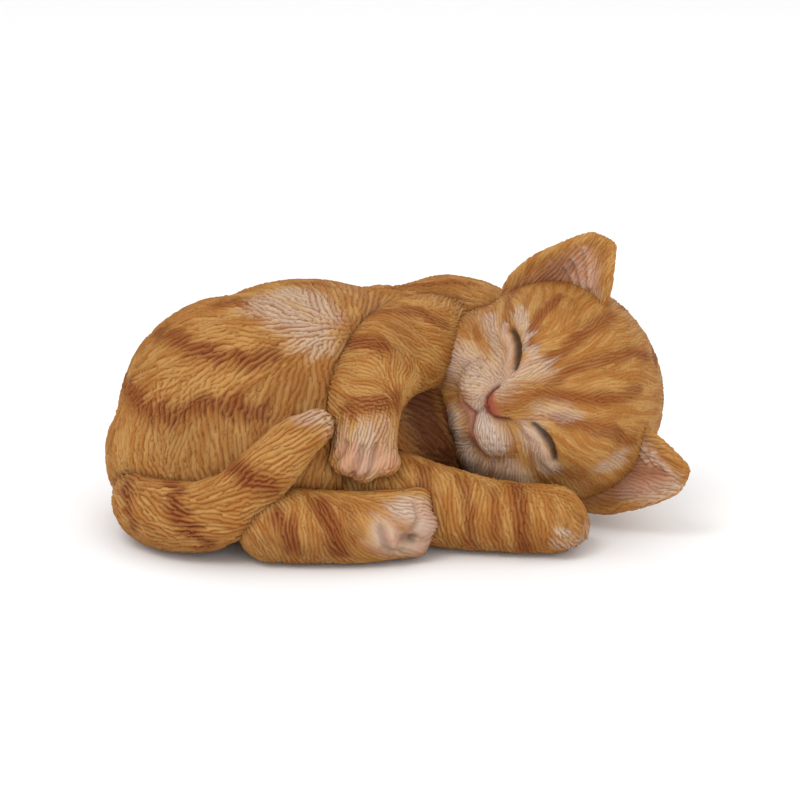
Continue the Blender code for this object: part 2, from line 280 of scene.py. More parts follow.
PINKS = {
    "hind_leg": (
        (((391, 535), (394, 541)), 2.2, 0.6),
        (((418, 504), (430, 518)), 2.2, 0.5),
        (((420, 548), (434, 530)), 2.2, 0.5),
    ),
    "upper_foreleg": (
        (((346, 452), (351, 468)), 3.0, 0.65),
        (((360, 464), (366, 474)), 2.6, 0.4),
        (((384, 458), (389, 466)), 2.8, 0.65),
    ),
    "lower_foreleg": ((((586, 500), (591, 520)), 2.6, 0.5),),
    "head": (
        (((461, 402), (471, 414), (470, 428), (475, 440)), 1.5, 1.0),
        (((519, 367), (525, 364)), 1.2, 0.45),
    ),
    "right_ear": (
        (((552, 270), (572, 272), (584, 290)), 2.6, 0.75),
        (((588, 252), (584, 276)), 1.8, 0.75),
    ),
    "left_ear": (
        (((630, 456), (644, 466), (658, 472)), 2.4, 0.8),
        (((632, 472), (650, 478), (664, 476)), 2.2, 0.85),
    ),
}
SHADES = {
    "body": (
        (((412, 372), (420, 400), (430, 432), (442, 455)), 8.0, 0.9),
        (((446, 398), (451, 425), (460, 450)), 4.5, 0.85),
        (((400, 335), (415, 355)), 4.0, 0.25),
        (((180, 446), (245, 440), (305, 400)), 11.0, 0.2),
    ),
    "hind_leg": (
        (((406, 540), (414, 541)), 1.9, 0.6),
        (((381, 528), (383, 542), (392, 551), (402, 550)), 1.2, 0.4),
        (((262, 545), (340, 556)), 4.0, 0.25),
    ),
    "upper_foreleg": ((((402, 330), (404, 350)), 5.0, 0.2),),
    "head": (
        (((449, 418), (451, 432), (455, 447), (461, 462)), 2.5, 0.55),
        (((460, 462), (472, 470), (490, 477), (508, 481)), 3.0, 0.55),
    ),
    "right_ear": ((((548, 276), (558, 268), (570, 264)), 2.4, 0.35),),
    "left_ear": ((((632, 468), (648, 474), (662, 472)), 1.8, 0.2),),
}

# Creases and pads of the paws and tufts in the ears, as
# (points in the photograph, half width and height in millimetres, bareness)
CREASES = {
    "upper_foreleg": (
        (((345, 444), (341, 453), (334, 462)), 1.1, -1.6, 0.5),
        (((362, 448), (358, 462), (353, 476)), 1.1, -1.7, 0.5),
        (((377, 446), (372, 462), (366, 477)), 1.1, -1.7, 0.5),
        (((351, 460), (347, 467)), 2.2, 1.1, 0.6),
        (((365, 464), (361, 471)), 2.2, 1.2, 0.5),
        (((380, 458), (378, 465)), 2.2, 1.1, 0.6),
    ),
    "lower_foreleg": (
        (((562, 519), (568, 525), (575, 532)), 1.4, -1.3, 0.5),
        (((568, 527), (570, 540), (572, 553)), 1.0, -1.1, 0.4),
        (((576, 512), (584, 522), (592, 538)), 1.0, -1.1, 0.4),
    ),
    "hind_leg": (
        (((384, 536), (420, 538)), 6.5, 0.0, 1.0),
        (((405, 539), (413, 541)), 2.6, -2.2, 1.0),
        (((384, 549), (397, 553)), 1.2, -0.8, 1.0),
        (((391, 536), (393, 541)), 1.9, 2.8, 1.0),
        (((416, 502), (420, 518), (413, 530)), 1.1, -1.4, 0.7),
        (((436, 536), (424, 542), (414, 541)), 1.1, -1.4, 0.7),
    ),
    "right_ear": (
        (((574, 258), (584, 292)), 0.9, 0.9, 0.2),
        (((584, 248), (590, 286)), 0.9, 0.9, 0.2),
        (((566, 266), (578, 292)), 0.8, 0.7, 0.2),
    ),
    "left_ear": (
        (((634, 444), (648, 462)), 0.8, 0.9, 0.2),
        (((643, 446), (657, 464)), 0.8, 0.9, 0.2),
        (((652, 452), (668, 470)), 0.9, 0.9, 0.2),
    ),
}

TUFT_BARENESS = 0.2  # up to this, a raised crease is a pale tuft of hair

# Which way the hair lies, as (point in the photograph, direction across and down)
COMBS = {
    "body": (
        ((275, 305), (-0.9, -0.4)), ((312, 290), (-0.5, -0.85)), ((265, 335), (-1, -0.1)),
        ((217, 325), (-1, 0.2)), ((187, 318), (-1, 0.3)), ((158, 374), (-1, 0.35)),
        ((187, 382), (-0.95, 0.35)), ((226, 382), (-0.75, 0.65)), ((255, 374), (-0.6, 0.8)),
        ((285, 374), (-0.4, 0.9)), ((294, 358), (-0.75, 0.55)), ((318, 385), (-0.1, 1)),
        ((265, 411), (-0.1, 1)), ((236, 420), (0.2, 1)), ((207, 430), (0, 1)), ((178, 440), (-0.1, 1)),
        ((149, 430), (-0.15, 1)), ((119, 440), (0, 1)), ((217, 459), (0.3, 1)),
        ((158, 469), (0.25, 0.9)), ((435, 287), (1, 0.05)), ((416, 385), (1, 0.15)),
        ((419, 413), (1, 0.2)), ((425, 442), (0.6, 0.6)), ((345, 300), (-0.2, -1)),
    ),
    "tail": (
        ((139, 512), (0.8, 0.6)), ((165, 522), (1, 0.3)), ((207, 504), (1, -0.25)),
        ((215, 530), (1, 0.1)), ((245, 480), (0.75, -0.6)), ((275, 450), (0.8, -0.55)),
        ((305, 428), (0.85, -0.4)), ((270, 485), (0.8, 0.2)),
    ),
    "hind_leg": (
        ((275, 527), (0.3, 1)), ((310, 525), (0.3, 1)), ((339, 528), (0.35, 1)),
        ((365, 520), (0.6, 0.6)), ((400, 505), (1, 0.1)), ((420, 530), (1, 0.2)),
    ),
    "upper_foreleg": (
        ((349, 330), (1, -0.25)), ((360, 352), (1, 0.05)), ((365, 380), (1, 0.2)),
        ((347, 400), (0.9, 0.35)), ((375, 405), (1, 0.1)), ((352, 432), (0.1, 1)),
        ((380, 432), (-0.15, 1)), ((366, 460), (0, 1)), ((395, 320), (0.9, 0.4)),
        ((420, 325), (0.95, 0.3)), ((410, 345), (0.8, 0.55)),
    ),
    "lower_foreleg": (
        ((420, 480), (0.3, 0.95)), ((454, 500), (0.1, 1)), ((485, 520), (0, 1)), ((511, 509), (0, 1)),
        ((545, 515), (0.1, 1)), ((570, 505), (0.8, 0.5)), ((572, 535), (0.6, 0.8)),
    ),
    "head": (
        ((564, 359), (0.9, -0.4)), ((602, 378), (1, -0.15)), ((602, 406), (1, 0.1)),
        ((621, 425), (0.95, 0.35)), ((583, 311), (0.75, -0.65)), ((630, 330), (0.8, -0.4)),
        ((545, 301), (0.3, -0.95)), ((522, 301), (0.1, -1)), ((478, 311), (-0.3, -0.95)),
        ((459, 340), (-0.6, -0.75)), ((478, 355), (-0.7, -0.6)), ((468, 378), (-0.8, -0.3)),
        ((459, 425), (-0.9, 0.4)), ((497, 464), (-0.2, 1)), ((525, 454), (0.2, 1)),
        ((545, 469), (0.4, 0.9)), ((583, 454), (0.8, 0.5)), ((602, 473), (0.8, 0.6)),
        ((487, 431), (0.1, 1)), ((516, 397), (1, -0.25)), ((540, 345), (0.8, -0.6)),
        ((548, 415), (0.9, 0.3)), ((640, 380), (1, -0.05)),
    ),
}

# The same for sides that the photograph doesn't show, as (place, direction)
FAR_COMBS = {
    "body": (
        ((-60, 35, 40), (-0.7, 0.3, -0.6)), ((-30, 48, 35), (-0.8, 0.2, -0.6)),
        ((0, 50, 35), (-0.8, 0.3, -0.6)), ((30, 42, 40), (-0.6, 0.6, -0.5)),
        ((-30, 25, 65), (-1, 0.3, 0)), ((14, 30, 65), (-1, 0.3, 0)), ((-80, 15, 25), (-0.1, 0.3, -1)),
        ((-40, 45, 12), (-0.6, 0, -0.8)), ((20, 50, 15), (-0.5, 0, -0.8)),
    ),
    "tail": (((-80, -10, 10), (0.1, -1, -0.1)), ((-60, -30, 17), (0.9, -0.4, 0)),),
    "hind_leg": (((-20, -34, 16), (0.2, -0.5, 0.8)), ((-30, -48, 3), (0.3, 0.3, -1)),),
    "upper_foreleg": (((14, 8, 60), (0.3, 0.9, 0)), ((-4, -20, 50), (0.2, -0.9, -0.4)),),
    "lower_foreleg": (((30, -24, 14), (0.2, 0.8, -0.4)), ((45, -30, 18), (0.8, 0.2, 0)),),
    "head": (
        ((60, 25, 40), (0.3, 0.8, -0.3)), ((40, 35, 45), (-0.6, 0.6, -0.3)),
        ((74, 6, 42), (0.3, 0.9, 0)), ((50, 10, 68), (0.2, 0.9, 0.2)),
        ((60, -5, 10), (0.6, 0.5, -0.6)),
    ),
}
FAR_STRIPES = {
    "body": (
        (((-72, 28, 12), (-74, 30, 30), (-62, 34, 48), (-50, 24, 62)), 3.0, 0.85),
        (((-48, 46, 10), (-50, 44, 30), (-42, 42, 50), (-32, 28, 66)), 3.0, 0.9),
        (((-20, 50, 10), (-24, 50, 30), (-20, 44, 52), (-16, 28, 66)), 2.8, 0.85),
        (((6, 52, 8), (2, 54, 28), (4, 48, 50), (10, 34, 66)), 3.0, 0.9),
        (((32, 46, 8), (30, 48, 28), (30, 42, 48), (32, 30, 60)), 2.6, 0.8),
        (((-76, 18, 40), (-60, 30, 55), (-30, 40, 58), (0, 46, 56), (24, 44, 54)), 2.4, 0.7),
    ),
    "head": (
        (((76, -2, 50), (74, 12, 52), (64, 26, 50)), 1.9, 0.8),
        (((78, 2, 36), (76, 14, 36), (66, 28, 36)), 1.9, 0.85),
        (((66, 6, 62), (60, 20, 62), (50, 30, 56)), 1.9, 0.75),
        (((70, 2, 20), (66, 14, 18), (56, 26, 20)), 1.9, 0.7),
    ),
    "tail": ((((-74, -14, 20), (-80, -14, 14), (-83, -14, 8)), 2.2, 0.8),),
}

# Paint
OCHRE = (0.70, 0.515, 0.28)
OCHRE_DEEP = (0.63, 0.41, 0.18)
STRIPE_BROWN = (0.47, 0.22, 0.05)
CREAM = (0.775, 0.735, 0.70)
SKIN_PINK = (0.76, 0.55, 0.45)
LIP_RED = (0.57, 0.29, 0.21)
SHADE_BROWN = (0.27, 0.10, 0.02)
EYE_BROWN = (0.21, 0.125, 0.105)
WASH = (0.74, 0.58, 0.42)
RIDGE = (0.36, 0.26, 0.14)
RESIN_PALE = (0.86, 0.83, 0.77)
RESIN_DULL = (0.79, 0.75, 0.68)
RESIN_SPECK = (0.55, 0.50, 0.44)
FELT_BLACK = (0.10, 0.10, 0.10)
FELT_FIBRE = (0.24, 0.23, 0.23)
FELT_TUFT = (0.15, 0.15, 0.15)
FLOOR_GREY = (0.93, 0.93, 0.93, 1)

# Edges of a brush stroke in half widths: solid up to the first, gone at the second
STROKE_CORE = 0.3
STROKE_EDGE = 1.8
STROKE_STEPS = 5
STROKE_FEATHER = 3.5  # millimetres that edges stray along the hair
SHADE_FEATHER = 1.0

# Sculpted hair, as (spacing, length, height) in millimetres
HAIR = {
    "body": (1.6, 5.5, 0.85),
    "head": (0.95, 2.6, 0.34),
    "upper_foreleg": (1.1, 3.2, 0.5),
    "lower_foreleg": (1.15, 3.0, 0.55),
    "hind_leg": (1.15, 3.0, 0.55),
    "tail": (1.4, 4.0, 0.7),
    "right_ear": (1.1, 2.5, 0.3),
    "left_ear": (1.1, 2.5, 0.3),
}

# Waves and streaks in the hair, in millimetres and radians
WAVE_SIZE = 6
WAVE_ANGLE = 0.7
STREAK_STEPS = (0.6, 1.2, 2.4)
STREAK_BLUR = 2
STREAK_CONTRAST = 1.3
STREAK_RISE = 0.8  # of a streak against a carved hair
LOCK_BREADTH = 1.6  # in spacings
LOCK_OVERLAP = 7
LOCK_SPREAD = (0.7, 1.35)
COMB_BLEND = 4
STEEPEST_LEAN = 0.25
BARE_LOCK = 0.6

# Paint on it, as (share of sculpted hair against painted strands, number of strands, wash in the grooves)
FINISHES = {
    "body": (0.58, 1.9, 0.85),
    "head": (0.45, 2.8, 0.5),
    "upper_foreleg": (0.6, 2.4, 0.65),
    "lower_foreleg": (0.6, 2.4, 0.75),
    "hind_leg": (0.6, 2.4, 0.75),
    "tail": (0.65, 2.2, 0.75),
    "right_ear": (0.5, 2.4, 0.55),
    "left_ear": (0.5, 2.4, 0.55),
}

# How dark the painted shade, with the wash that gathers there, is where a casting meets its neighbours
CREASE_SHADE_AND_WASH = {
    "body": 0.55,
    "head": 0.1,
    "upper_foreleg": 0.45,
    "lower_foreleg": 0.45,
    "hind_leg": 0.45,
    "tail": 0.4,
    "right_ear": 0.15,
    "left_ear": 0.15,
}

CREASE_REACH = 4
CREASE_FADE = 1.2
NO_NEIGHBOUR = 9.0
# Painted shade low down: how dark it is at the floor, and the heights in millimetres where it is full and
# where it is gone
LOW_SHADE = 0.22
LOW_HEIGHTS = (2, 16)

# Lights, as (place from the figure's middle, width, watts) in metres
LIGHTS = {
    "key": ((-0.35, -0.55, 0.9), 0.5, 2.8),
    "fill": ((0.2, -0.9, 0.22), 0.6, 2.0),
    "rim": ((0.1, 0.7, 0.8), 0.6, 0.6),
}
LIGHT_AIM = (0, 0, 0.03)
SKY_STRENGTH = 1.0
FLOOR_REACH = 4

# The photograph's axes, and the head's, in the figure's millimetres
RIGHT = np.array((1.0, 0.0, 0.0))
RISE = np.array((0.0, math.sin(CAMERA_ELEVATION), math.cos(CAMERA_ELEVATION)))
BACK = np.array((0.0, -math.cos(CAMERA_ELEVATION), math.sin(CAMERA_ELEVATION)))
EYE = np.array((0.0, 0.0, CAMERA_AIM_HEIGHT)) + BACK * CAMERA_DISTANCE
FOCAL_PIXELS = CAMERA_DISTANCE / PIXEL
DOWN = np.array((0.0, 0.0, -1.0))


def unit(vectors):
    """Vectors of length one, for one vector or rows of them."""
    return vectors / np.maximum(np.linalg.norm(vectors, axis=-1, keepdims=True), 1e-9)


HEAD_X = unit(np.array(HEAD_FORWARD))
HEAD_Y = unit(np.cross(HEAD_UP, HEAD_X))
HEAD_Z = np.cross(HEAD_X, HEAD_Y)
HEAD_AXES = np.array((HEAD_X, HEAD_Y, HEAD_Z))


def to_head(points):
    return (points - np.array(HEAD_CENTRE)) @ HEAD_AXES.T


def from_head(points):
    return points @ HEAD_AXES + np.array(HEAD_CENTRE)


def ramp(values, low, high):
    """A soft step from 0 at low to 1 at high."""
    t = np.clip((values - low) / (high - low), 0, 1)
    return t * t * (3 - 2 * t)


class Form:
    """A casting as arrays in the figure's millimetres, on its way to becoming a mesh."""

    def __init__(self, name, points, faces):
        self.name = name
        self.points = points
        self.faces = faces
        self.measure()
        count = len(points)
        self.flow = np.zeros((count, 3))
        self.lock = np.zeros(count)
        self.tone = np.full(count, 0.5)
        names = ("stripe", "pale", "pink", "shade", "ink", "lip")
        self.masks = {mask: np.zeros(count) for mask in names}

    def add(self, mask, cover):
        """Lays paint where a mask has less."""
        self.masks[mask] = np.maximum(self.masks[mask], cover)

    def measure(self):
        """Normals at the points, the area, and a tree to find places on the surface."""
        corners = self.points[self.faces]
        crosses = np.cross(corners[:, 2] - corners[:, 0], corners[:, 3] - corners[:, 1])
        normals = np.zeros_like(self.points)
        for corner in range(4):
            np.add.at(normals, self.faces[:, corner], crosses)
        self.normals = unit(normals)
        self.area = np.linalg.norm(crosses, axis=1).sum() / 2
        self.tree = BVHTree.FromPolygons(self.points.tolist(), self.faces.tolist())

    def seen(self, pixel):
        """The place and normal that a pixel of the photograph shows, or the nearest to it."""
        across, down = pixel[0] - FRAME_PIXELS / 2, pixel[1] - FRAME_PIXELS / 2
        ray = unit(RIGHT * across - RISE * down - BACK * FOCAL_PIXELS)
        place, normal, face, reach = self.tree.ray_cast(Vector(EYE), Vector(ray))
        if place is None:
            reach = np.dot(self.points.mean(axis=0) - EYE, ray)
            place, normal, face, gap = self.tree.find_nearest(Vector(EYE + ray * reach))
        return np.array(place), np.array(normal)

    def nearest(self, place):
        place, normal, face, gap = self.tree.find_nearest(Vector(place))
        return np.array(place), np.array(normal)


def add_ball(mesh, centre, radii):
    """Adds an ellipsoid to a mesh that is being put together."""
    matrix = Matrix.Translation(centre) @ Matrix.Diagonal((*radii, 1))
    rings = BALL_SEGMENTS // 2
    bmesh.ops.create_uvsphere(mesh, u_segments=BALL_SEGMENTS, v_segments=rings, radius=1, matrix=matrix)


def add_limb(mesh, stations):
    """Adds a round tapered limb through its stations, with a ball at each end."""
    curve = bpy.data.curves.new("limb", "CURVE")
    curve.dimensions = "3D"
    curve.bevel_depth = 1
    curve.bevel_resolution = LIMB_ROUNDNESS
    curve.resolution_u = LIMB_STEPS
    curve.use_fill_caps = True
    spline = curve.splines.new("BEZIER")
    spline.bezier_points.add(len(stations) - 1)
    for point, (x, y, z, radius) in zip(spline.bezier_points, stations):
        point.co = (x, y, z)
        point.radius = radius
        point.handle_left_type = point.handle_right_type = "AUTO"
    holder = bpy.data.objects.new("limb", curve)
    bpy.context.scene.collection.objects.link(holder)
    graph = bpy.context.evaluated_depsgraph_get()
    tube = bpy.data.meshes.new_from_object(holder.evaluated_get(graph))
    mesh.from_mesh(tube)
    bpy.data.objects.remove(holder)
    bpy.data.meshes.remove(tube)
    bpy.data.curves.remove(curve)
    for x, y, z, radius in (stations[0], stations[-1]):
        add_ball(mesh, (x, y, z), (radius, radius, radius))


def shaped(name, mesh, modifiers):
    """A form from a mesh that was put together, after some modifiers."""
    data = bpy.data.meshes.new(name)
    mesh.to_mesh(data)
    mesh.free()
    holder = bpy.data.objects.new(name, data)
    bpy.context.scene.collection.objects.link(holder)
    for kind, settings in modifiers:
        modifier = holder.modifiers.new(kind.lower(), kind)
        for setting, value in settings.items():
            setattr(modifier, setting, value)
    graph = bpy.context.evaluated_depsgraph_get()
    made = bpy.data.meshes.new_from_object(holder.evaluated_get(graph))
    points = np.empty(len(made.vertices) * 3)
    made.vertices.foreach_get("co", points)
    faces = np.empty(len(made.loops), dtype=int)
    made.loops.foreach_get("vertex_index", faces)
    bpy.data.objects.remove(holder)
    bpy.data.meshes.remove(data)
    bpy.data.meshes.remove(made)
    return Form(name, points.reshape(-1, 3), faces.reshape(-1, 4))


def fused(name, mesh, voxel, rounds):
    """One smooth form from overlapping masses."""
    levels = FUSED_LEVELS
    return shaped(name, mesh, (
        ("REMESH", {"mode": "VOXEL", "voxel_size": voxel}),
        ("SMOOTH", {"factor": 0.5, "iterations": rounds}),
        ("SUBSURF", {"levels": levels, "render_levels": levels}),
    ))


def body_form():
    mesh = bmesh.new()
    for centre, radii in BODY_MASSES.values():
        add_ball(mesh, centre, radii)
    return fused("body", mesh, BODY_CELL, BROAD_SOFTENING)


def limb_form(name, stations, toes=()):
    mesh = bmesh.new()
    add_limb(mesh, stations)
    for x, y, z, radius in toes:
        add_ball(mesh, (x, y, z), (radius, radius, radius))
    return fused(name, mesh, LIMB_CELL, LIMB_SOFTENING)


def head_form():
    mesh = bmesh.new()
    for centre, radii in HEAD_MIDDLE_MASSES.values():
        add_ball(mesh, centre, radii)
    for (x, y, z), radii in (*HEAD_PAIRED_MASSES.values(), JAW_MASS):
        add_ball(mesh, (x, y, z), radii)
        add_ball(mesh, (x, -y, z), radii)
    turn = Matrix(HEAD_AXES.T.tolist()).to_4x4()
    bmesh.ops.transform(mesh, matrix=Matrix.Translation(HEAD_CENTRE) @ turn, verts=mesh.verts)
    return fused("head", mesh, HEAD_CELL, BROAD_SOFTENING)


def ear_form(name, side):
    """A scooped leaf, thickened and rounded."""
    outer_root, inner_root = Vector(EAR_OUTER_ROOT), Vector(EAR_INNER_ROOT)
    outer_tip, inner_tip = Vector(EAR_OUTER_TIP), Vector(EAR_INNER_TIP)
    width = (inner_root - outer_root).normalized()
    mesh = bmesh.new()
    bmesh.ops.create_grid(mesh, x_segments=EAR_CELLS[0], y_segments=EAR_CELLS[1], size=0.5)
    for vertex in mesh.verts:
        across, along = vertex.co.x + 0.5, vertex.co.y + 0.5
        swell = math.sin(math.pi * along)
        outer = outer_root.lerp(outer_tip, along) - width * EAR_OUTER_BULGE * swell
        inner = inner_root.lerp(inner_tip, along) + width * EAR_INNER_BULGE * swell
        depth = EAR_SCOOP * (1 - (2 * across - 1) ** 2) * (1 - EAR_SCOOP_TAPER * along)
        place = outer.lerp(inner, across) - Vector((depth, 0, 0))
        vertex.co = from_head(np.array((place.x, place.y * side, place.z)))
    if side < 0:
        bmesh.ops.reverse_faces(mesh, faces=mesh.faces)
    levels = EAR_LEVELS
    return shaped(name, mesh, (
        ("SOLIDIFY", {"thickness": EAR_THICKNESS, "offset": 0}),
        ("SUBSURF", {"levels": levels, "render_levels": levels}),
    ))


def comb(form, hints, far_hints):
    """Lays the hair over a form, following the hints."""
    places, directions = [], []
    for pixel, (across, down) in hints:
        place, normal = form.seen(pixel)
        wanted = RIGHT * across - RISE * down
        lean = max(np.dot(BACK, normal), STEEPEST_LEAN)
        places.append(place)
        directions.append(unit(wanted - BACK * np.dot(wanted, normal) / lean))
    for far_place, direction in far_hints:
        place, normal = form.nearest(far_place)
        places.append(place)
        directions.append(unit(np.array(direction, dtype=float)))
    lie = np.zeros_like(form.points) + DOWN * 1e-9
    for place, direction in zip(places, directions):
        gap = ((form.points - place) ** 2).sum(axis=1)
        lie += direction / ((gap + COMB_BLEND) ** 2)[:, None]
    lie -= form.normals * (lie * form.normals).sum(axis=1)[:, None]
    form.flow = unit(lie)


def ruffle(form, size, angle):
    """Turns the hair a little to and fro, so that it lies in waves."""
    turn = angle * np.array([random_field(Vector(point) / size) for point in form.points.tolist()])
    aside = np.cross(form.normals, form.flow)
    form.flow = form.flow * np.cos(turn)[:, None] + aside * np.sin(turn)[:, None]


def blurred(form, values, rounds):
    """Evens values out between neighbours on the surface."""
    corners = form.faces.ravel()
    shares = np.bincount(corners, minlength=len(values))
    for step in range(rounds):
        means = values[form.faces].mean(axis=1)
        values = np.bincount(corners, weights=np.repeat(means, 4), minlength=len(values)) / shares
    return values


def find_steps(form):
    """For each point, the points a short way ahead and behind along the hair."""
    form.near = KDTree(len(form.points))
    for index, point in enumerate(form.points.tolist()):
        form.near.insert(point, index)
    form.near.balance()
    form.steps = []
    for reach in STREAK_STEPS:
        pair = []
        for way in (reach, -reach):
            places = (form.points + form.flow * way).tolist()
            pair.append(np.array([form.near.find(place)[1] for place in places]))
        form.steps.append(pair)


def streaks(form, seed, rounds):
    """Random streaks that run with the hair, from 0 in the grooves to 1 on the ridges."""
    values = np.random.default_rng(seed).standard_normal(len(form.points))
    values = blurred(form, values, rounds)
    for ahead, behind in form.steps:
        for repeat in range(2):
            values = 0.5 * values + 0.25 * (values[ahead] + values[behind])
    return 0.5 + 0.5 * np.tanh(STREAK_CONTRAST * (values - values.mean()) / values.std())


def ridges(form, spacing, length, seed):
    """Carved hairs side by side at a spacing, from 0 in the grooves to 1 on the ridges."""
    chance = np.random.default_rng(seed)
    breadth = LOCK_BREADTH * spacing
    count = int(LOCK_OVERLAP * form.area / (length * breadth * 2 * math.pi))
    waves = np.zeros(len(form.points), dtype=complex)
    for middle in chance.integers(len(form.points), size=count):
        centre, along = form.points[middle], form.flow[middle]
        aside = np.cross(form.normals[middle], along)
        found = form.near.find_range(centre, 2 * length)
        near = np.array([index for place, index, gap in found])
        away = form.points[near] - centre
        step, drift = away @ along, away @ aside
        weight = np.exp(-0.5 * ((step / length) ** 2 + (drift / breadth) ** 2))
        weight *= form.normals[near] @ form.normals[middle] > 0
        turn = 2 * math.pi * (drift / (spacing * chance.uniform(*LOCK_SPREAD)) + chance.random())
        waves[near] += weight * np.exp(1j * turn)
    return 0.5 + 0.5 * np.cos(np.angle(waves))


def raise_hair(form, amount, bare):
    """Moves the surface out along ridges and tufts and in along grooves, except where it is bare."""
    rise = (form.lock - 0.5 + STREAK_RISE * (form.tone - 0.5)) * amount * (1 - bare)
    form.points = form.points + form.normals * rise[:, None]


def gap_to_line(points, line):
    """How far points are from a line through some places."""
    nearest = np.full(len(points), np.inf)
    for start, end in zip(line, line[1:]):
        run = end - start
        step = np.clip((points - start) @ run / max(run @ run, 1e-9), 0, 1)
        gap = np.linalg.norm(points - start - step[:, None] * run, axis=1)
        nearest = np.minimum(nearest, gap)
    return nearest


def trail(line, find):
    """Places on a surface along a line of pixels or places, by a way to find them."""
    corners = np.array(line, dtype=float)
    found = []
    for start, end in zip(corners, corners[1:]):
        for step in np.linspace(0, 1, STROKE_STEPS + 1):
            found.append(find(start + (end - start) * step)[0])
    return found


def brush(form, mask, strokes, far_strokes=(), feather=STROKE_FEATHER):
    """Paints strokes on a form's mask, with edges that follow the locks."""
    where = form.points + form.flow * ((form.tone - 0.5) * feather)[:, None]
    for group, find in ((strokes, form.seen), (far_strokes, form.nearest)):
        for line, half_width, strength in group:
            gaps = gap_to_line(where, trail(line, find)) / half_width
            form.add(mask, strength * (1 - ramp(gaps, STROKE_CORE, STROKE_EDGE)))


def face_gap(sideways, up, line):
    """Distance from a line drawn on the face, and whether a point is above it."""
    points = np.column_stack((sideways, up))
    nearest = np.full(len(points), np.inf)
    above = np.zeros(len(points))
    for start, end in zip(np.array(line, dtype=float), np.array(line[1:], dtype=float)):
        run = end - start
        step = np.clip((points - start) @ run / (run @ run), 0, 1)
        away = points - start - step[:, None] * run
        gap = np.linalg.norm(away, axis=1)
        closer = gap < nearest
        nearest[closer] = gap[closer]
        above[closer] = np.sign(run[0] * away[closer, 1] - run[1] * away[closer, 0])
    return nearest, above


def smooth_line(line):
    """The cubic curve through four points."""
    sideways, up = np.array(line, dtype=float).T
    places = np.linspace(sideways[0], sideways[-1], 16)
    return tuple(zip(places, np.polyval(np.polyfit(sideways, up, 3), places)))


def groove(gap, half_width):
    """1 along a line, falling to 0 beside it."""
    return np.exp(-((gap / half_width) ** 2))


def carve_face(form):
    """Closed eyes, nose, mouth and whisker pits on the head. Gives where the hair is short."""
    local = to_head(form.points)
    forward, sideways, up = local[:, 0], np.abs(local[:, 1]), local[:, 2]
    front = ramp(forward, 6, 12)

    gap, above = face_gap(sideways, up, smooth_line(EYE_LINE))
    along = (sideways - EYE_LINE[0][0]) / (EYE_LINE[-1][0] - EYE_LINE[0][0])
    reach = SHADOW_END + SHADOW_MIDDLE * np.sin(math.pi * np.clip(along, 0.02, 0.98))
    under = np.where(above > 0, gap * SHADOW_CRISPNESS, gap)
    slit = groove(gap, SLIT[0]) * front
    shadow = ramp(-under / reach, -1.3, -0.2) * front
    lid = groove(gap * above - LID[0], LID[1]) * ramp(gap, 6, 3) * front
    fold = groove(gap * above - FOLD[0], FOLD[1]) * ramp(gap, 6, 3) * front
    out = LID[2] * lid + FOLD[2] * fold - SLIT[1] * slit
    bare = np.maximum(np.maximum(slit, 0.9 * shadow), 0.4 * lid)
    form.add("ink", INK["slit"] * slit)
    form.add("ink", INK["shadow"] * shadow)
    form.add("pale", 0.6 * lid)
    form.add("pink", 0.15 * lid)

    gap, above = face_gap(sideways, up, NOSTRIL_LINE)
    nostril = groove(gap, NOSTRIL[0]) * ramp(forward, 26, 29)
    out -= NOSTRIL[1] * nostril
    form.add("ink", INK["nostril"] * nostril)
    form.add("lip", nostril)

    # The mouth's right half runs out of sight, so it isn't painted to its end
    gap, above = face_gap(sideways, up, PHILTRUM_LINE)
    philtrum = groove(gap, PHILTRUM[0]) * ramp(forward, 20, 24)
    gap, above = face_gap(sideways, up, MOUTH_LINE)
    mouth = groove(gap, MOUTH[0]) * ramp(forward, 10, 16)
    painted = ramp(local[:, 1], -8, -4)
    lips = groove(gap, LIP_HALF_WIDTH) * ramp(forward, 10, 16) * painted
    out -= PHILTRUM[1] * philtrum + MOUTH[1] * mouth
    form.add("ink", INK["philtrum"] * philtrum)
    form.add("ink", INK["mouth"] * mouth * painted)
    form.add("pink", lips)
    form.add("lip", 0.6 * lips)

    half_width = NOSE_FOOT_HALF_WIDTH + NOSE_WIDENING * np.clip((up - NOSE_FOOT) / NOSE_HEIGHT, 0, 1)
    skin = ramp(half_width - sideways, -0.5, 0.7) * ramp(up, -4.4, -3.4) * ramp(-up, -1.8, -0.2)
    skin = skin * ramp(forward, 27, 30)
    form.add("lip", skin)
    bare = np.maximum(np.maximum(bare, skin), lips)

    for row, height in enumerate(WHISKER_ROWS):
        for column in range(WHISKER_COLUMNS):
            start = WHISKER_START + WHISKER_SPACING * column + WHISKER_STAGGER * (row % 2)
            gap = np.hypot(sideways - start, up - height - WHISKER_RISE * column)
            pit = groove(gap, WHISKER_PIT[0]) * ramp(forward, 18, 22)
            out -= WHISKER_PIT[1] * pit
            form.add("ink", INK["pit"] * pit)

    form.points = form.points + form.normals * out[:, None]
    return bare


def carve(form, creases):
    """Creases between toes, the pads and hollow of a sole, or tufts. Gives where the hair is short."""
    bare = np.zeros(len(form.points))
    out = np.zeros(len(form.points))
    for line, half_width, height, bareness in creases:
        gap = gap_to_line(form.points, [form.seen(pixel)[0] for pixel in line])
        cover = groove(gap, half_width)
        out += height * cover
        bare = np.maximum(bare, bareness * cover)
        if height < 0:
            form.add("shade", 0.2 * cover)
        elif bareness <= TUFT_BARENESS:
            form.add("pale", 0.8 * cover)
            form.masks["pink"] = form.masks["pink"] * (1 - 0.85 * cover)
    form.points = form.points + form.normals * out[:, None]
    return bare


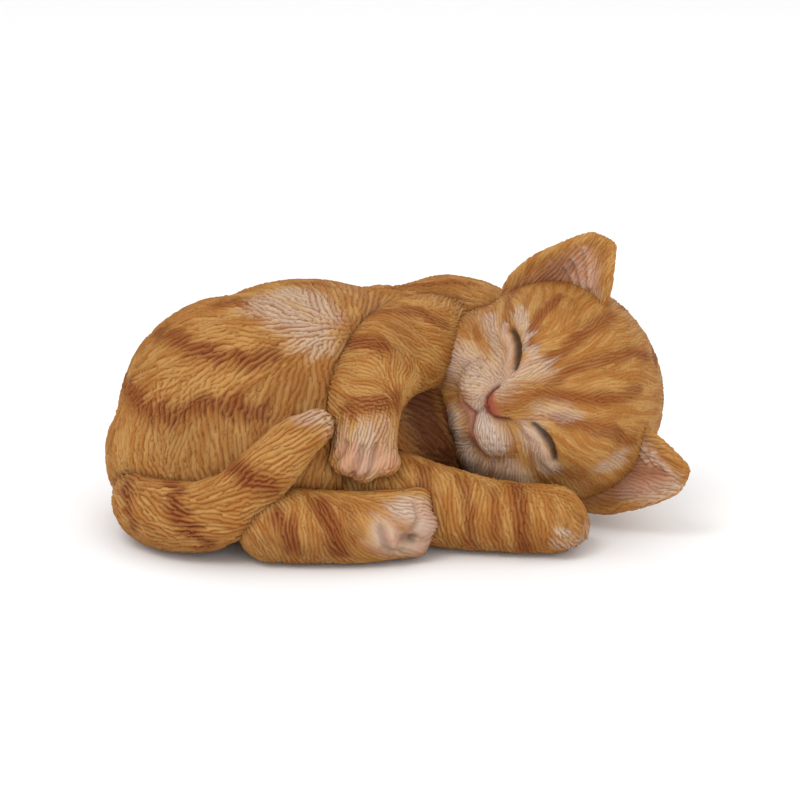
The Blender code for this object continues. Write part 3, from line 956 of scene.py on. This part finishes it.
def darken_creases(forms):
    """Painted shade, with the wash that gathers there, where one casting meets another, and painted shade
    a little low down.
    """
    for form in forms:
        closest = np.full(len(form.points), NO_NEIGHBOUR)
        for other in forms:
            if other is form:
                continue
            low = other.points.min(axis=0) - CREASE_REACH
            high = other.points.max(axis=0) + CREASE_REACH
            inside = np.all((form.points > low) & (form.points < high), axis=1)
            for index in np.flatnonzero(inside):
                place, normal, face, gap = other.tree.find_nearest(form.points[index], CREASE_REACH)
                if place is not None and gap < closest[index]:
                    closest[index] = gap
        form.add("shade", LOW_SHADE * ramp(-form.points[:, 2], -LOW_HEIGHTS[1], -LOW_HEIGHTS[0]))
        form.add("shade", CREASE_SHADE_AND_WASH[form.name] * np.exp(-closest / CREASE_FADE))


def linear(colour):
    """A colour as a screen shows it, in the values that a shader takes."""
    return (*((c / 12.92 if c <= 0.04045 else ((c + 0.055) / 1.055) ** 2.4) for c in colour), 1)


def wire(tree, socket, value):
    """Links an output to a socket, or sets the socket's own value."""
    if isinstance(value, bpy.types.NodeSocket):
        tree.links.new(value, socket)
    else:
        socket.default_value = value


def blended(tree, factor, first, second, blend="MIX"):
    mix = tree.nodes.new("ShaderNodeMix")
    mix.data_type = "RGBA"
    mix.blend_type = blend
    mix.clamp_factor = True
    wire(tree, mix.inputs[0], factor)
    wire(tree, mix.inputs[6], first)
    wire(tree, mix.inputs[7], second)
    return mix.outputs[2]


def maths(tree, operation, first, second):
    sum_node = tree.nodes.new("ShaderNodeMath")
    sum_node.operation = operation
    wire(tree, sum_node.inputs[0], first)
    wire(tree, sum_node.inputs[1], second)
    return sum_node.outputs[0]


def mixed(tree, first, first_share, second, second_share):
    first_part = maths(tree, "MULTIPLY", first, first_share)
    return maths(tree, "ADD", first_part, maths(tree, "MULTIPLY", second, second_share))


def ranged(tree, value, low, high, to_low=0, to_high=1):
    span = tree.nodes.new("ShaderNodeMapRange")
    span.interpolation_type = "SMOOTHSTEP"
    for socket, setting in zip(span.inputs, (value, low, high, to_low, to_high)):
        wire(tree, socket, setting)
    return span.outputs[0]


def noise(tree, place, scale, detail=3):
    made = tree.nodes.new("ShaderNodeTexNoise")
    wire(tree, made.inputs["Vector"], place)
    made.inputs["Scale"].default_value = scale
    made.inputs["Detail"].default_value = detail
    return made.outputs[0]


def attribute(tree, name):
    made = tree.nodes.new("ShaderNodeAttribute")
    made.attribute_name = name
    return made


def new_material(name):
    made = bpy.data.materials.new(name)
    made.use_nodes = True
    tree = made.node_tree
    place = tree.nodes.new("ShaderNodeTexCoord").outputs["Object"]
    return made, tree, tree.nodes["Principled BSDF"], place


def add_bump(tree, shader, height, strength, distance):
    """Fine relief on a shader, with its distance in millimetres."""
    bump = tree.nodes.new("ShaderNodeBump")
    bump.inputs["Strength"].default_value = strength
    bump.inputs["Distance"].default_value = distance * MM
    wire(tree, bump.inputs["Height"], height)
    wire(tree, shader.inputs["Normal"], bump.outputs[0])


def hairs(tree, place, across, scale, frequency):
    """Fine wavy strands that run with the hair."""
    waves = tree.nodes.new("ShaderNodeTexNoise")
    wire(tree, waves.inputs["Vector"], place)
    waves.inputs["Scale"].default_value = 170
    bend = tree.nodes.new("ShaderNodeVectorMath")
    bend.operation = "MULTIPLY_ADD"
    wire(tree, bend.inputs[0], waves.outputs["Color"])
    bend.inputs[1].default_value = (0.0012, 0.0012, 0.0012)
    wire(tree, bend.inputs[2], place)
    strands = tree.nodes.new("ShaderNodeTexGabor")
    strands.gabor_type = "3D"
    wire(tree, strands.inputs["Vector"], bend.outputs[0])
    strands.inputs["Scale"].default_value = scale
    strands.inputs["Frequency"].default_value = frequency
    strands.inputs["Anisotropy"].default_value = 1
    wire(tree, strands.inputs["Orientation 3D"], across)
    return strands.outputs["Value"]


def painted_resin(name, lock_share, strand_count, wash):
    """Satin paint on sculpted hair: brushed stripes, a wash in the grooves, dry-brushed ridges."""
    made, tree, shader, place = new_material(name)
    paint, relief = attribute(tree, "paint"), attribute(tree, "relief")
    stripe, pale, pink = separated(tree, paint.outputs["Color"])
    lock, tone, ink = separated(tree, relief.outputs["Color"])
    shade, lip = paint.outputs["Alpha"], relief.outputs["Alpha"]

    across = attribute(tree, "across").outputs["Vector"]
    strand = hairs(tree, place, across, 700, strand_count)
    patch = noise(tree, place, 55)
    grain = noise(tree, place, 1400, 2)
    ridge = mixed(tree, lock, lock_share, strand, 1 - lock_share)

    mood = mixed(tree, tone, 0.45, patch, 0.55)
    colour = blended(tree, ranged(tree, mood, 0.25, 0.75), linear(OCHRE), linear(OCHRE_DEEP))
    dry = ranged(tree, ridge, 0.2, 0.85, 0.35, 0.9)
    full = ranged(tree, ridge, 0.2, 0.85, 1.0, 0.7)
    for mask, paint_colour, load in (
        (stripe, STRIPE_BROWN, full), (pale, CREAM, dry), (pink, SKIN_PINK, 0.8),
    ):
        colour = blended(tree, maths(tree, "MULTIPLY", mask, load), colour, linear(paint_colour))
    colour = blended(tree, lip, colour, linear(LIP_RED))
    colour = blended(tree, ranged(tree, ridge, 0.5, 0.1, 0, wash), colour, linear(WASH), "MULTIPLY")
    colour = blended(tree, ranged(tree, ridge, 0.5, 0.9, 0, 0.35), colour, linear(RIDGE), "SCREEN")
    colour = blended(tree, shade, colour, linear(SHADE_BROWN))
    colour = blended(tree, ink, colour, linear(EYE_BROWN))
    wire(tree, shader.inputs["Base Color"], colour)
    wire(tree, shader.inputs["Roughness"], ranged(tree, grain, 0.3, 0.7, 0.55, 0.72))
    shader.inputs["Specular IOR Level"].default_value = 0.2

    add_bump(tree, shader, mixed(tree, strand, 0.9, grain, 0.2), 0.8, 0.3)
    return made


def separated(tree, colour):
    split = tree.nodes.new("ShaderNodeSeparateColor")
    wire(tree, split.inputs[0], colour)
    return split.outputs[0], split.outputs[1], split.outputs[2]


def bare_resin(name):
    """Unpainted casting resin, ground flat, with fine scratches and a few specks."""
    made, tree, shader, place = new_material(name)
    specks = noise(tree, place, 900, 4)
    clouds = noise(tree, place, 120)
    colour = blended(tree, clouds, linear(RESIN_PALE), linear(RESIN_DULL))
    colour = blended(tree, ranged(tree, specks, 0.62, 0.72, 0, 0.4), colour, linear(RESIN_SPECK))
    wire(tree, shader.inputs["Base Color"], colour)
    wire(tree, shader.inputs["Roughness"], ranged(tree, clouds, 0.3, 0.7, 0.6, 0.8))
    add_bump(tree, shader, specks, 0.3, 0.1)
    return made


def felt(name):
    """Black felt with loose fibres."""
    made, tree, shader, place = new_material(name)
    fibres = noise(tree, place, 2600, 6)
    tufts = noise(tree, place, 500)
    colour = blended(tree, ranged(tree, fibres, 0.4, 0.7), linear(FELT_BLACK), linear(FELT_FIBRE))
    wire(tree, shader.inputs["Base Color"], blended(tree, tufts, colour, linear(FELT_TUFT)))
    shader.inputs["Roughness"].default_value = 0.95
    shader.inputs["Sheen Weight"].default_value = 0.4
    add_bump(tree, shader, fibres, 0.8, 0.3)
    return made


def figure_shift():
    """Where the figure's millimetres start in the frame, from a pad whose place is known."""
    low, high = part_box("felt_pad_rump")
    middle = [(low[axis] + high[axis]) / 2 / MM for axis in (0, 1)]
    return np.array([middle[0] - PAD_RUMP_PLACE[0], middle[1] - PAD_RUMP_PLACE[1], 0])


def flatten_underside(form):
    """Grinds a form flat underneath, and sinks the recess for the plug's flange."""
    form.points[:, 2] = np.maximum(form.points[:, 2], UNDERSIDE)
    if form.name == "body":
        gap = np.hypot(form.points[:, 0] - PLUG_PLACE[0], form.points[:, 1] - PLUG_PLACE[1])
        low = (gap < FLANGE_RADIUS) & (form.points[:, 2] < UNDERSIDE + FLANGE_RECESS)
        form.points[low, 2] = UNDERSIDE + FLANGE_RECESS


def finished(form, shift):
    """The form as an object in the frame, with its masks for the paint."""
    mesh = bpy.data.meshes.new(form.name + "_painted")
    mesh.from_pydata(((form.points + shift) * MM).tolist(), [], form.faces.tolist())
    masks = form.masks
    paint = np.column_stack((masks["stripe"], masks["pale"], masks["pink"], masks["shade"]))
    relief = np.column_stack((form.lock, form.tone, masks["ink"], masks["lip"]))
    across = np.cross(form.normals, form.flow)
    mesh.attributes.new("paint", "FLOAT_COLOR", "POINT").data.foreach_set("color", paint.ravel())
    mesh.attributes.new("relief", "FLOAT_COLOR", "POINT").data.foreach_set("color", relief.ravel())
    mesh.attributes.new("across", "FLOAT_VECTOR", "POINT").data.foreach_set("vector", across.ravel())
    mesh.shade_smooth()
    mesh.materials.append(painted_resin(form.name + "_paint", *FINISHES[form.name]))
    piece = bpy.data.objects.new(form.name + "_painted", mesh)
    bpy.context.scene.collection.objects.link(piece)
    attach(piece, "root")
    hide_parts(form.name + "_casting")
    return piece


def ear_hair(form, side):
    """Hair from root to tip, a pink hollow and a pale fringe at the root."""
    local = to_head(form.points)
    root = (np.array(EAR_OUTER_ROOT) + np.array(EAR_INNER_ROOT)) / 2
    tip = (np.array(EAR_OUTER_TIP) + np.array(EAR_INNER_TIP)) / 2
    lie = unit((tip - root) * np.array((1, side, 1))) @ HEAD_AXES
    lie = lie - form.normals * (form.normals @ lie)[:, None]
    form.flow = unit(lie)
    facing = ramp(form.normals @ HEAD_X, 0.1, 0.5)
    local = local * np.array((1, side, 1)) - root
    length = np.linalg.norm(tip - root)
    along = local @ unit(tip - root) / length
    span = np.array(EAR_INNER_ROOT) - np.array(EAR_OUTER_ROOT)
    middle = local @ unit(span) - along * ((tip - root) @ unit(span))
    aside = middle / (np.linalg.norm(span) / 2 * (1.1 - 0.75 * along))
    hollow = facing * ramp(-np.abs(aside), -0.65, -0.25) * ramp(-along, -0.95, -0.5)
    form.masks["pink"] = 0.85 * hollow
    fringe = 0.75 * facing * ramp(-np.abs(aside - 0.4), -0.4, -0.1) * ramp(-along, -0.7, -0.3)
    form.masks["pale"] = fringe


def main():
    forms = {
        "body": body_form(),
        "head": head_form(),
        "upper_foreleg": limb_form("upper_foreleg", UPPER_FORELEG_STATIONS, UPPER_TOES),
        "lower_foreleg": limb_form("lower_foreleg", LOWER_FORELEG_STATIONS, LOWER_TOES),
        "hind_leg": limb_form("hind_leg", HIND_LEG_STATIONS, HIND_TOES),
        "tail": limb_form("tail", TAIL_STATIONS),
        "right_ear": ear_form("right_ear", -1),
        "left_ear": ear_form("left_ear", 1),
    }
    for seed, (name, form) in enumerate(forms.items()):
        if name in COMBS:
            comb(form, COMBS[name], FAR_COMBS.get(name, ()))
        else:
            ear_hair(form, -1 if name == "right_ear" else 1)
        ruffle(form, WAVE_SIZE, WAVE_ANGLE)
        find_steps(form)
        spacing, length, height = HAIR[name]
        form.lock = ridges(form, spacing, length, 2 * seed)
        form.tone = streaks(form, 2 * seed + 1, STREAK_BLUR)
        brush(form, "stripe", STRIPES.get(name, ()), FAR_STRIPES.get(name, ()))
        brush(form, "pale", PALES[name])
        brush(form, "pink", PINKS.get(name, ()))
        brush(form, "shade", SHADES.get(name, ()), feather=SHADE_FEATHER)
        bare = carve_face(form) if name == "head" else carve(form, CREASES.get(name, ()))
        raise_hair(form, height, bare)
        form.lock = form.lock * (1 - bare) + BARE_LOCK * bare
        flatten_underside(form)
        form.measure()
    darken_creases(list(forms.values()))
    shift = figure_shift()
    for form in forms.values():
        finished(form, shift)
    dress_nodes()
    set_stage(shift)


def dress_nodes():
    """Finishes for the solids that show as they are, underneath."""
    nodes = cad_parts
    for name, node in nodes.items():
        if name == "pour_hole_plug" or name.startswith("felt_pad"):
            finish = bare_resin(name + "_finish") if name == "pour_hole_plug" else felt(name + "_finish")
            node.data.materials.clear()
            node.data.materials.append(finish)


def set_stage(shift):
    """Pale floor, soft light and the photograph's camera."""
    scene = bpy.context.scene
    scene.view_settings.view_transform = "Standard"
    middle = Vector(shift * MM)
    mesh = bmesh.new()
    bmesh.ops.create_grid(mesh, x_segments=1, y_segments=1, size=FLOOR_REACH)
    data = bpy.data.meshes.new("floor")
    mesh.to_mesh(data)
    mesh.free()
    floor = bpy.data.objects.new("floor", data)
    scene.collection.objects.link(floor)
    finish = bpy.data.materials.new("floor_finish")
    finish.use_nodes = True
    shader = finish.node_tree.nodes["Principled BSDF"]
    shader.inputs["Base Color"].default_value = FLOOR_GREY
    shader.inputs["Roughness"].default_value = 0.9
    data.materials.append(finish)

    world = bpy.data.worlds.new("studio")
    scene.world = world
    world.use_nodes = True
    world.node_tree.nodes["Background"].inputs[0].default_value = (1, 1, 1, 1)
    world.node_tree.nodes["Background"].inputs[1].default_value = SKY_STRENGTH
    for name, (place, size, power) in LIGHTS.items():
        light = bpy.data.lights.new(name, "AREA")
        light.shape = "DISK"
        light.size = size
        light.energy = power
        lamp = bpy.data.objects.new(name, light)
        lamp.location = middle + Vector(place)
        lamp.rotation_euler = (Vector(LIGHT_AIM) - Vector(place)).to_track_quat("-Z", "Y").to_euler()
        scene.collection.objects.link(lamp)

    camera = bpy.data.cameras.new("camera")
    camera.sensor_width = SENSOR
    camera.lens = SENSOR * FOCAL_PIXELS / FRAME_PIXELS
    camera.clip_end = 20
    viewer = bpy.data.objects.new("camera", camera)
    viewer.location = Vector((shift + EYE) * MM)
    viewer.rotation_euler = Vector(-BACK).to_track_quat("-Z", "Y").to_euler()
    scene.collection.objects.link(viewer)
    scene.camera = viewer


main()
